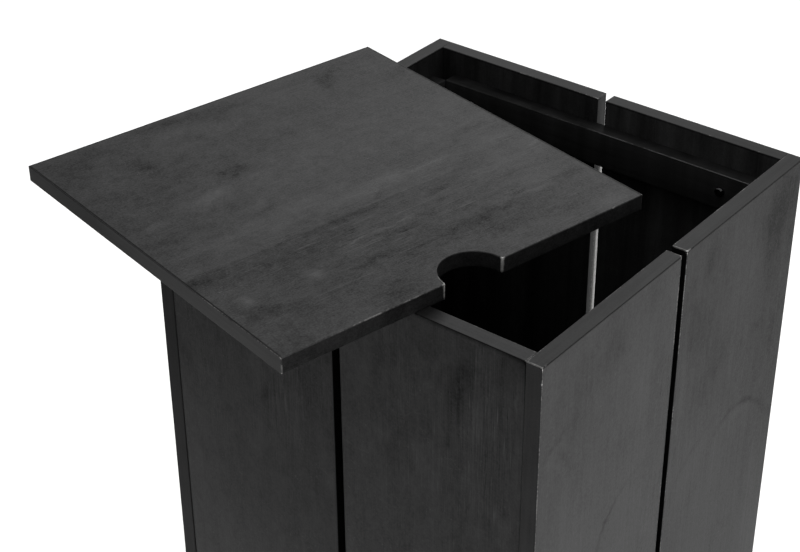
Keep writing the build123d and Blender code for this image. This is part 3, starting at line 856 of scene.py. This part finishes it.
# ---- upright strips at the corners and slots ---------------------------------
def corner_strip(part, sx, sy):
    """An edging strip on the front or rear face of one corner."""
    lo, hi = box_between((sx * INNER, sy * (HALF - EDGE), FOOT), (sx * HALF, sy * HALF, CORE_TOP))
    front_right = sx > 0 and sy < 0

    def wear(point, edge, distance):
        # the front right strip's cut side, the bin's front right upright corner, is pale: rubbed, and
        # painted with that corner's highlight
        if front_right and point.x > HALF - ON_FACE:
            return 0.62 + 0.35 * fbm(point, 30.0, 2.0)
        return 0.0

    def dark_marks_and_shade(point):
        # the front left strip's front face is darker all over, the front right one darker along its
        # two upright edges, and every strip has painted shade just under the rim
        darkening = 0.0
        if sy < 0 and point.y < -HALF + ON_FACE:
            if sx < 0:
                darkening = 0.60
            else:
                darkening = 0.30 * fade(HALF - point.x, 0.0009) + 0.2 * fade(point.x - INNER, 0.0006)
        return darkening + 0.5 * fade(CORE_TOP - point.z, 0.0004)

    chips = [((HALF, -HALF, CORE_TOP - 0.001), 0.002, 0.0005),
             ((HALF, -HALF, CORE_TOP - 0.014), 0.0022, 0.0005),
             ((HALF, -HALF, 0.62), 0.003, 0.0005)] if front_right else []
    part.block(lo, hi, rounding("+y" if sy > 0 else "-y", TIGHT, upright_only=True),
               21.0 + sx + 2 * sy, chips=chips, wear=wear, step=0.014, dark_marks_and_shade=dark_marks_and_shade)


def side_slot_strip(part, sx, sy):
    """A strip lining the slot of the left or right wall."""
    lo, hi = box_between((sx * INNER, sy * HALF_SLOT, FOOT),
                         (sx * HALF, sy * (HALF_SLOT + EDGE), CORE_TOP))

    def dark_marks_and_shade(point):
        # painted shade on the faces within the slot; the strip's outer edge is left unshaded
        in_slot = abs(abs(point.y) - HALF_SLOT) < ON_FACE
        return 0.88 if in_slot and abs(point.x) < HALF - 0.0004 else 0.0

    # the right wall's slot strips are pale on their outer sides: a painted highlight along the slot's
    # upright edges
    def wear(point, edge, distance):
        return 0.46 + 0.4 * fbm(point, 26.0, 4.0) if point.x > HALF - ON_FACE else 0.0

    chips = [((HALF, sy * HALF_SLOT, CORE_TOP - 0.001), 0.0028, 0.0016)] if sx > 0 else []
    part.block(lo, hi, rounding("-y" if sy > 0 else "+y", TIGHT, upright_only=True),
               31.0 + sx + 2 * sy, chips=chips, wear=wear, unevenness=0.3, step=0.016,
               dark_marks_and_shade=dark_marks_and_shade)


def end_slot_strip(part, sx, sy):
    """A strip lining the slot of the front or rear wall."""
    lo, hi = box_between((sx * HALF_SLOT, sy * INNER, FOOT),
                         (sx * (HALF_SLOT + EDGE), sy * HALF, CORE_TOP))

    def dark_marks_and_shade(point):
        # painted shade over the rear right strip's inner upright edge, hiding its highlight, and on
        # the faces within the slot, stronger at the front
        if sx > 0 and sy > 0 and point.y < INNER + 0.0006:
            return 0.95
        if abs(abs(point.x) - HALF_SLOT) < ON_FACE and abs(point.y) < HALF - 0.0004:
            return 0.88 if sy < 0 else 0.40
        return 0.0

    def wear(point, edge, distance):
        # the outer arris of the rear slot's left strip is painted pale below the ledge, standing in
        # for the light seen past it through the slot; its strongest marks make it brighter still
        if sx < 0 and sy > 0 and point.z < 0.748:
            if point.y > HALF - 0.0040:
                return 1.2
            if point.y > HALF - 0.0060:
                return 0.22 + 0.2 * fbm(point, 60.0, 3.0)
        return 0.0

    part.block(lo, hi, rounding("-x" if sx > 0 else "+x", TIGHT, upright_only=True),
               41.0 + sx + 2 * sy, wear=wear, unevenness=0.3, step=0.016, dark_marks_and_shade=dark_marks_and_shade)


QUARTERS = [(sx, sy) for sx in (-1, 1) for sy in (-1, 1)]
part = Part()
for sx, sy in QUARTERS:
    corner_strip(part, sx, sy)
part.make("corner_strips", strip("strip_upright", 2, 3.0, base=0.0112, spec=0.275, bare=0.13),
          "housing", "corner_edging")

part = Part()
for sx, sy in QUARTERS:
    side_slot_strip(part, sx, sy)
    end_slot_strip(part, sx, sy)
part.make("slot_strips", strip("strip_slot", 2, 5.0, base=0.0100, spec=0.20, bare=0.16),
          "housing", "slot_edging")


# ---- rails -------------------------------------------------------------------
def rail(node, inward, seed, material, ledge):
    """A batten against the inside of a wall; inward is the side away from that wall."""
    lo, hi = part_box(node)
    axis = "xyz".index(inward[1])
    wall_at = lo[axis] if inward[0] == "+" else hi[axis]

    def ledge_painted_shade(point):
        if point.z > hi.z - ON_FACE:     # the top: painted shade, darkest against the wall
            # the top's painted shade lightens away from the wall and, on the front and rear rails,
            # deepens towards the left
            away = min(1.0, abs(point[axis] - wall_at) / 0.0150)
            shade = 0.12 if axis == 0 else 0.12 * clamp(-point.x / 0.15)
            return 0.70 - 0.24 * away + shade + 0.12 * fbm(point, 60.0, 4.0)
        # the sides: painted shade, deeper further down
        return 0.05 + 0.48 * min(1.0, (hi.z - point.z) / 0.035)

    def wear(point, edge, distance):
        # painted highlight along the ledge's front top arris, brighter towards the right
        if edge == {"+z", inward} and distance < 0.0006:
            return 0.62 + 0.35 * fbm(point, 30.0, 4.0) + 0.22 * clamp(point.x / 0.12, low=-1.0)
        return 0.0

    part = Part()
    part.block(lo, hi, rounding(opposite(inward), GLUE, elsewhere=EASED), seed, wear=wear,
               dark_marks_and_shade=ledge_painted_shade if ledge else None)
    part.make(node + "_batten", material, "housing", node)


rail_x = batten("batten_x", along=0, seed=1.0)
rail_y = batten("batten_y", along=1, seed=2.0)
for level, extra_seed in (("ledge", 1), ("base", 0)):
    for wall, inward, seed, material in (("front", "+y", 182.0, rail_x),
                                         ("rear", "-y", 179.0, rail_x),
                                         ("left", "+x", 181.0, rail_y),
                                         ("right", "-x", 182.0, rail_y)):
        rail(level + "_rail_" + wall, inward, seed + extra_seed, material,
             ledge=level == "ledge")

# ---- the lid -----------------------------------------------------------------
# Marks on the lid's top, in its own frame, in mm:
# (along, across, half length, half width, tone change, turn)
LID_MARKS = [
    (-95, 40, 16, 7, 0.22, 0.1), (-84, 46, 8, 5, 0.12, 0), (-53, 62, 16, 8, -0.20, 0.2),
    (-62, 70, 5, 4, -0.16, 0), (-46, 68, 4, 7, -0.16, 0), (113, 158, 14, 11, -0.14, 0.3),
    (104, 146, 6, 12, -0.12, 0), (-4, 160, 22, 14, -0.15, 0.1), (-30, 172, 40, 8, -0.12, 0),
    (-107, 117, 7, 12, -0.24, 0.2), (-79, 110, 12, 6, -0.14, 0.3), (-86, 17, 16, 9, -0.10, 0),
    (-72, 6, 7, 6, 0.13, 0.5), (-161, 28, 16, 5, 0.13, 0.2), (-162, 4, 20, 8, -0.12, 0),
    (-126, -14, 9, 5, -0.16, 0.1), (-76, -34, 14, 6, 0.12, 0.1), (-97, -112, 7, 4.5, 0.36, 0.3),
    (-161, -109, 5, 8, 0.34, 0.2), (-150, -100, 14, 7, 0.12, 0.2), (-179, 53, 14, 22, -0.07, 0),
    (-141, 160, 60, 24, -0.07, 0), (-184, -64, 26, 9, -0.13, 0), (-160, -128, 14, 7, -0.15, 0.2),
    (-88, -83, 44, 12, -0.07, 0), (-34, -58, 30, 7, -0.12, 0), (0, -33, 34, 9, 0.16, 0),
    (34, -28, 20, 9, 0.10, 0), (86, -32, 18, 4, 0.20, 0), (-42, -91, 9, 1.4, 0.40, 0),
    (-20, -92, 7, 2.2, 0.24, 0), (-10, -90.5, 8, 1.3, 0.36, 0), (8, -90, 8, 1.2, 0.26, 0),
    (91, -119, 14, 4, 0.16, 0), (120, -121, 18, 2.6, 0.20, 0), (63, -69, 16, 5, -0.16, 0.2),
    (51, -127, 30, 5.5, -0.13, 0), (-6, -101, 20, 4, -0.15, 0), (-50, -123, 26, 3.5, -0.16, 0),
    (-5, -131, 20, 3, -0.12, 0), (164, -119, 12, 5, -0.15, 0.2), (158, -174, 14, 8, 0.16, 0.3),
    (130, -162, 16, 4, -0.12, 0), (152, -4, 20, 3, -0.13, 0), (157, -32, 16, 6, 0.12, 0),
    (112, -50, 34, 10, -0.07, 0), (177, -61, 8, 2, 0.18, 0.4), (64, -150, 14, 9, -0.10, 0),
    (-66, -172, 20, 9, -0.18, 0.3), (30, -150, 30, 6, 0.06, 0), (-150, -160, 30, 16, -0.04, 0),
    (-23, 30, 60, 22, 0.04, 0), (60, 60, 130, 70, 0.05, 0.1), (125, -62, 56, 22, 0.08, 0),
    (-66, -17, 84, 8, 0.13, 0.0625), (-80, -30, 50, 8, 0.06, 0), (44, -30, 22, 8, 0.11, 0),
    (0, -30, 120, 7, 0.04, 0), (130, -108, 36, 16, 0.065, 0), (-100, 32, 12, 8, 0.08, 0),
    (-65, 172, 26, 8, -0.11, 0), (-135, 168, 30, 12, -0.07, 0), (-175, 140, 18, 18, -0.09, 0),
    (-168, -150, 14, 12, 0.07, 0), (150, 165, 36, 14, -0.05, 0), (-120, -24, 40, 5, 0.06, 0.0625),
    (-120, 80, 40, 16, -0.08, 0.2), (50, -130, 150, 40, -0.085, 0), (-180, 60, 40, 120, -0.02, 0),
    (140, 120, 60, 60, -0.035, 0), (-155, 0, 22, 30, -0.03, 0), (150, 20, 50, 60, 0.04, 0),
    (-60, 20, 60, 40, 0.045, 0),
]
# Seams along the lid's x: (y, softness, from x, to x, tone step, reach), in mm
LID_SEAMS = [
    (-54, 1.5, -190, 116, 0.115, 30), (-12, 2.2, -40, 150, -0.05, 22),
    (-117, 1.6, 20, 160, 0.08, 24), (-104, 1.2, -110, 10, 0.06, 14),
    (-68, 1.0, 60, 200, -0.05, 14),
]
LID_BOOSTS = [(0, -100, 190, 60, 1.6), (60, -25, 110, 16, 1.8), (-120, -30, 60, 30, 0.3),
              (150, 0, 40, 40, 0.5)]
# Chips in the lid board's top edge: (x, y, size, depth)
LID_CHIPS = [
    (-NOTCH, -LID_Y, 0.0030, 0.0005), (NOTCH, -LID_Y, 0.0032, 0.0009),
    (152 * MM, -LID_Y, 0.0018, 0.0008), (NOTCH + 9 * MM, -LID_Y, 0.0014, 0.0003),
]


def lid_outline():
    """The lid board's outline, counter-clockwise, as (x, y, edge radius, paleness from rubbing and
    painted highlights).
    """
    right, front, back = LID_X - EDGE, -LID_Y, LID_Y - EDGE
    shoulder = NOTCH + NOTCH_CORNER
    rows = []

    def line(start, end, radius, wear, step):
        start, end = Vector(start), Vector(end)
        count = max(2, int((end - start).length / step))
        for i in range(count):
            at = start.lerp(end, i / count)
            rows.append((at.x, at.y, radius, wear))

    def corner(mid_x, start_angle, fractions):
        for t in fractions:
            angle = start_angle + t * math.pi / 2
            rows.append((mid_x + NOTCH_CORNER * math.cos(angle),
                         front + NOTCH_CORNER + NOTCH_CORNER * math.sin(angle), LID_BARE, 1.0))

    line((right, front), (right, back), GLUE, 0.0, 0.03)
    line((right, back), (-right, back), GLUE, 0.0, 0.03)
    line((-right, back), (-right, front), GLUE, 0.0, 0.03)
    line((-right, front), (-shoulder, front), LID_BARE, 0.30, 0.003)
    corner(-shoulder, -math.pi / 2, (0.0, 0.2, 0.4, 0.6, 0.8))
    trim = math.asin(NOTCH_CORNER / NOTCH)
    count = 72
    for i in range(count + 1):
        angle = math.pi - trim - (math.pi - 2 * trim) * i / count
        # the left part of the notch's arris is pale: rubbed, and painted with a highlight; its two
        # ends, at the upright corners, are palest
        if i in (0, count):
            wear = 1.0
        else:
            wear = 0.78 if i < 9 else (0.50 if i < 18 else 0.20)
        rows.append((NOTCH * math.cos(angle), front + NOTCH * math.sin(angle), LID_BARE, wear))
    corner(shoulder, math.pi, (0.2, 0.4, 0.6, 0.8, 1.0))
    line((shoulder, front), (right, front), LID_BARE, 0.30, 0.003)
    kept = []
    for row in rows:
        if not kept or (Vector(row[:2]) - Vector(kept[-1][:2])).length > 0.00008:
            kept.append(row)
    return kept


def outward_normals(outline):
    """Mitred outward directions at the points of a closed outline."""
    normals = []
    for i, here in enumerate(outline):
        before = here - outline[i - 1]
        after = outline[(i + 1) % len(outline)] - here
        first = Vector((before.y, -before.x)).normalized()
        second = Vector((after.y, -after.x)).normalized()
        mitre = (first + second).normalized()
        normals.append(mitre / max(0.5, mitre.dot(first)))
    return normals


def lid_board():
    """Rings of the outline stacked from the underside to the top, closed by flat caps."""
    rows = lid_outline()
    outline = [Vector(row[:2]) for row in rows]
    normals = outward_normals(outline)
    part = Part()
    rings = []

    def ring(level, profile, kind):
        """level is -1 at the bottom, 1 at the top; profile(radius) gives the inset and z."""
        ids = []
        for (x, y, radius, edge_wear), normal, flat in zip(rows, normals, outline):
            bare = radius > GLUE * 1.5
            base = Vector((flat.x, flat.y, 0))
            broad = fbm(base, 60.0, 3.0)
            fine = fbm(base + Vector((0, 0, level * 0.01)), 260.0, 8.0)
            bend = radius
            if bare:
                bend = bend * (1.0 + 0.45 * broad + 0.30 * fine)
            hit = 0.0
            at = Vector((base.x, base.y, LID_H if level > 0 else 0.0))
            for (chip_x, chip_y, size, depth) in LID_CHIPS:
                away = (at - Vector((chip_x, chip_y, LID_H))).length / size
                if away < 1.7:
                    bite = math.exp(-away * away * 2.0) * (1 + 0.4 * fbm(base, 900.0, 2.0))
                    bend += depth * bite
                    hit = max(hit, bite)
            inset, z = profile(min(max(bend, 0.00008), NOTCH_CORNER * 0.9))
            place = flat - normal * inset
            # pale edges: the front arris and the notch are rubbed and painted with highlights, and
            # the notch's upright corners carry full painted highlights
            wear = 0.0
            if kind == "edge":
                if level > 0:
                    left_front = base.y < -LID_Y + 0.0001 and -0.14 < base.x < 0
                    wear = edge_wear + 0.35 * max(0.0, broad) + 0.26 * left_front
                else:
                    wear = 0.6 * (edge_wear > 0.9)
                wear += hit * 0.9
            elif kind == "wall":
                wear = 1.0 * (edge_wear > 0.9) + hit * 0.2
            ids.append(len(part.verts))
            part.verts.append(Vector((place.x, place.y, z)))
            part.wear.append(clamp(wear, high=1.2))
            part.dark_marks_and_shade.append(0.9 if kind == "edge" and not bare else 0.0)
        rings.append(ids)

    cap_inset = NOTCH_CORNER * 0.96
    quarter = [t * math.pi / 2 for t in (0.0, 0.25, 0.5, 0.75, 1.0)]
    ring(-1, lambda r: (cap_inset, 0.0), "flat")
    for a in quarter[::-1]:
        ring(-1, lambda r: (r * (1 - math.cos(a)), r * (1 - math.sin(a))), "edge")
    for level, share in ((-1, 0.2), (0, 0.5), (1, 0.8)):
        ring(level, lambda r: (0.0, LID_H * share), "wall")
    for a in quarter:
        ring(1, lambda r: (r * (1 - math.cos(a)), LID_H - r * (1 - math.sin(a))), "edge")
    ring(1, lambda r: (cap_inset, LID_H), "flat")

    for low, high in zip(rings, rings[1:]):
        for i in range(len(rows)):
            j = (i + 1) % len(rows)
            part.faces.append((low[i], low[j], high[j], high[i]))
    for ids, faces_up in ((rings[-1], True), (rings[0], False)):
        flat = [Vector((part.verts[i].x, part.verts[i].y, 0)) for i in ids]
        for i, j, k in tessellate_polygon([flat]):
            area = (flat[j] - flat[i]).cross(flat[k] - flat[i]).z
            if abs(area) < 1e-14:
                continue
            face = (ids[i], ids[j], ids[k])
            part.faces.append(face if (area > 0) == faces_up else face[::-1])
    material = film("film_lid", along=0, seed=9.4, base=0.0156, spec=0.335, face="xy",
                    clouds=(0.45, 0.95, 0.85, 1.25, 0.34), lines=0.30, lid=True, gain=2.10,
                    marks=LID_MARKS, seams=LID_SEAMS, boosts=LID_BOOSTS)
    part.make("lid_board", material, "lid", "lid_panel", LID_MATRIX)


def lid_left_wear(point, edge, distance):
    """The top arris is pale towards the front corner, as are the upright edges at that corner and,
    less, the bottom arris: rubbed, and painted with highlights.
    """
    worn_and_highlight = 0.0
    if edge == {"+z", "-x"} and distance < 0.0004:
        worn_and_highlight = (0.68 + 0.3 * fbm(point, 40.0, 5.0)) * clamp((-0.02 - point.y) / 0.08)
    if "-y" in edge and distance < 0.0007 and "+z" not in edge:
        worn_and_highlight = 0.60 + 0.08 * (1.0 - point.z / LID_H) + 0.2 * fbm(point, 120.0, 5.0)
    if edge == {"-z", "-x"} and distance < 0.0006:
        worn_and_highlight = 0.34 + 0.3 * fbm(point, 40.0, 9.0)
    return worn_and_highlight


def lid_strip_wear(point, edge, distance):
    return 0.34 + 0.35 * fbm(point, 40.0, 6.0) if "+z" in edge and distance < 0.0005 else 0.0


def lid_left_grime(point):
    """The glue line is dark on top, and the rear half of the side is duller."""
    on_glue = point.z > LID_H - ON_FACE and point.x > -LID_X + EDGE - 0.00035
    on_side = point.x < -LID_X + ON_FACE
    return max(0.60 if on_glue else 0.0,
               0.76 * clamp((point.y + 0.14) / 0.22) if on_side else 0.0)


lid_board()
# Place, outer side, low and high corner, seed, chips, rubbing and painted highlights, dark marks,
# material settings
for place, side, lo, hi, seed, chips, wear, dark_marks_and_shade, look in [
    ("right", "+x", (LID_X - EDGE, -LID_Y, 0), (LID_X, LID_Y, LID_H), 61.0,
     [((LID_X, -LID_Y, LID_H), 0.002, 0.0006)], lid_strip_wear, None,
     dict(along=1, seed=6.0, base=0.0125, spec=0.26)),
    ("left", "-x", (-LID_X, -LID_Y, 0), (-LID_X + EDGE, LID_Y, LID_H), 62.0,
     [((-LID_X, -LID_Y, 0.0), 0.0022, 0.0007), ((-LID_X, -LID_Y, LID_H), 0.0018, 0.0005)],
     lid_left_wear, lid_left_grime,
     dict(along=1, seed=4.0, base=0.0088, spec=0.195, bare=0.075)),
    ("back", "+y", (-LID_X + EDGE, LID_Y - EDGE, 0), (LID_X - EDGE, LID_Y, LID_H), 63.0,
     [], lid_strip_wear, None, dict(along=0, seed=5.0, base=0.0125, spec=0.26)),
]:
    part = Part()
    part.block(lo, hi, rounding(side, TIGHT), seed, chips=chips, wear=wear, unevenness=0.4,
               dark_marks_and_shade=dark_marks_and_shade)
    part.make("lid_strip_" + place, strip("strip_lid_" + place, **look), "lid",
              "lid_edging_" + place, LID_MATRIX)

# ------------------------------------------------------------------ CAD nodes that stay
for material, nodes in (
    (metal("black_screw", 1.0, base=0.075, rough=0.16, dull=0.8),
     ("ledge_rail_screws", "base_rail_screws", "base_plate_screws")),
    (metal("zinc_hardware", 2.0, base=0.30, rough=0.38, spangle=0.2),
     ("drop_handle_right", "drop_handle_left", "handle_clip_right", "handle_clip_left",
      "handle_rivets", "liner_rim_wire")),
    (metal("zinc_plate", 3.0, base=0.42, rough=0.42, spangle=0.45), ("base_plate",)),
    (powder("liner_coat"), ("liner_body", "liner_floor")),
    (batten("dowel_wood", along=0, seed=7.0), ("corner_dowels",)),
):
    for node in nodes:
        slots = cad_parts[node].data.materials
        slots.clear()
        slots.append(material)


# ------------------------------------------------------------------ stage
def sheet(name, low, high, z, material):
    """A level rectangle between two (x, y) corners."""
    mesh = bpy.data.meshes.new(name)
    mesh.from_pydata([(low[0], low[1], z), (high[0], low[1], z), (high[0], high[1], z),
                      (low[0], high[1], z)], [], [(0, 1, 2, 3)])
    mesh.materials.append(material)
    ob = bpy.data.objects.new(name, mesh)
    bpy.context.scene.collection.objects.link(ob)
    return ob


def floor_paint():
    """Pale floor that starts to glow away from the bin."""
    net = Paint("floor_paint")
    cloud = net.noise(scale=3.0, detail=4.0, rough=0.5)
    x, y, _ = net.xyz(net.coords)
    away = net.op("SQRT", net.add((x, x), (y, y)))
    return net.finish(color=net.grey(net.ramp(cloud, (0.3, 0.7), (0.86, 0.90))), rough=0.7,
                      spec=0.2, emission=(1, 1, 1, 1),
                      glow=net.ramp(away, (2.4, 6.5), (0.0, 0.52), smooth=True))


sheet("floor", (-30.0, -30.0), (30.0, 30.0), -0.0002, floor_paint())

# A dark card low in front of the bin, seen only in reflections, as a studio flag would be set.
flag_black = Paint("flag_black").finish(color=(0.15, 0.15, 0.15, 1), rough=0.9, spec=0.0)
card = sheet("flag", (-2.3, -2.8), (0.45, -0.62), 0.02, flag_black)
card.visible_camera = False
card.visible_diffuse = False
card.visible_shadow = False
card.visible_transmission = False


def area(name, place, target, size, power):
    """A square area light, hidden from the camera and from reflections."""
    light = bpy.data.lights.new(name, "AREA")
    light.shape = "RECTANGLE"
    light.size = size
    light.size_y = size
    light.energy = power
    ob = bpy.data.objects.new(name, light)
    bpy.context.scene.collection.objects.link(ob)
    ob.location = place
    ob.rotation_mode = "QUATERNION"
    ob.rotation_quaternion = (Vector(target) - Vector(place)).to_track_quat("-Z", "Y")
    ob.visible_camera = False
    ob.visible_glossy = False


area("key", place=(1.8, 1.4, 4.2), target=(0, 0, 0.4), size=2.6, power=60.0)
area("top", place=(-0.2, 0.5, 4.8), target=(-0.2, 0.5, 0), size=5.0, power=205.0)


def glow(net, azimuth, elevation, inner, outer, amount):
    """A soft round change of the world's level, full within inner degrees, none past outer."""
    turn, tilt = math.radians(azimuth), math.radians(elevation)
    toward = Vector((math.cos(tilt) * math.cos(turn), math.cos(tilt) * math.sin(turn),
                     math.sin(tilt)))
    x, y, z = net.xyz(net.coords)
    dot = net.add((x, toward.x), (y, toward.y), (z, toward.z))
    span = (math.cos(math.radians(outer)), math.cos(math.radians(inner)))
    return net.ramp(dot, span, (0.0, amount), smooth=True)


def studio():
    """Pale all round, brighter behind, dimmer behind to the left; white to the camera."""
    world = bpy.data.worlds.new("studio")
    bpy.context.scene.world = world
    world.use_nodes = True
    net = Net(world.node_tree, "ShaderNodeOutputWorld", "Generated")
    level = net.add(0.60,
                    glow(net, azimuth=108, elevation=24, inner=4, outer=34, amount=0.42),
                    glow(net, azimuth=160, elevation=38, inner=6, outer=40, amount=-0.42))
    room = net.node("ShaderNodeBackground")
    net.put(room.inputs[0], net.grey(level))
    white = net.node("ShaderNodeBackground")
    white.inputs[0].default_value = (1, 1, 1, 1)
    switch = net.node("ShaderNodeMixShader")
    net.put(switch.inputs[0], net.node("ShaderNodeLightPath").outputs["Is Camera Ray"])
    net.put(switch.inputs[1], room.outputs[0])
    net.put(switch.inputs[2], white.outputs[0])
    net.put(net.out.inputs[0], switch.outputs[0])


studio()
bpy.context.scene.view_settings.view_transform = "Standard"
bpy.context.scene.view_settings.look = "None"

# ------------------------------------------------------------------ camera
cam_data = bpy.data.cameras.new("camera")
cam = bpy.data.objects.new("camera", cam_data)
bpy.context.scene.collection.objects.link(cam)
cam_data.sensor_width = 36.0
cam_data.lens = 81.30681
cam_data.clip_start = 0.05
cam_data.clip_end = 100.0
forward = Vector((-0.52689558, 0.65662629, -0.53965078)).normalized()
right = Vector((0.78278606, 0.62224979, -0.00715452))
right = (right - forward * right.dot(forward)).normalized()
up = right.cross(forward)
cam.matrix_world = Matrix((
    (right.x, up.x, -forward.x, 0.7904016),
    (right.y, up.y, -forward.y, -1.1008424),
    (right.z, up.z, -forward.z, RIM + 0.7681133),
    (0, 0, 0, 1),
))
bpy.context.scene.camera = cam
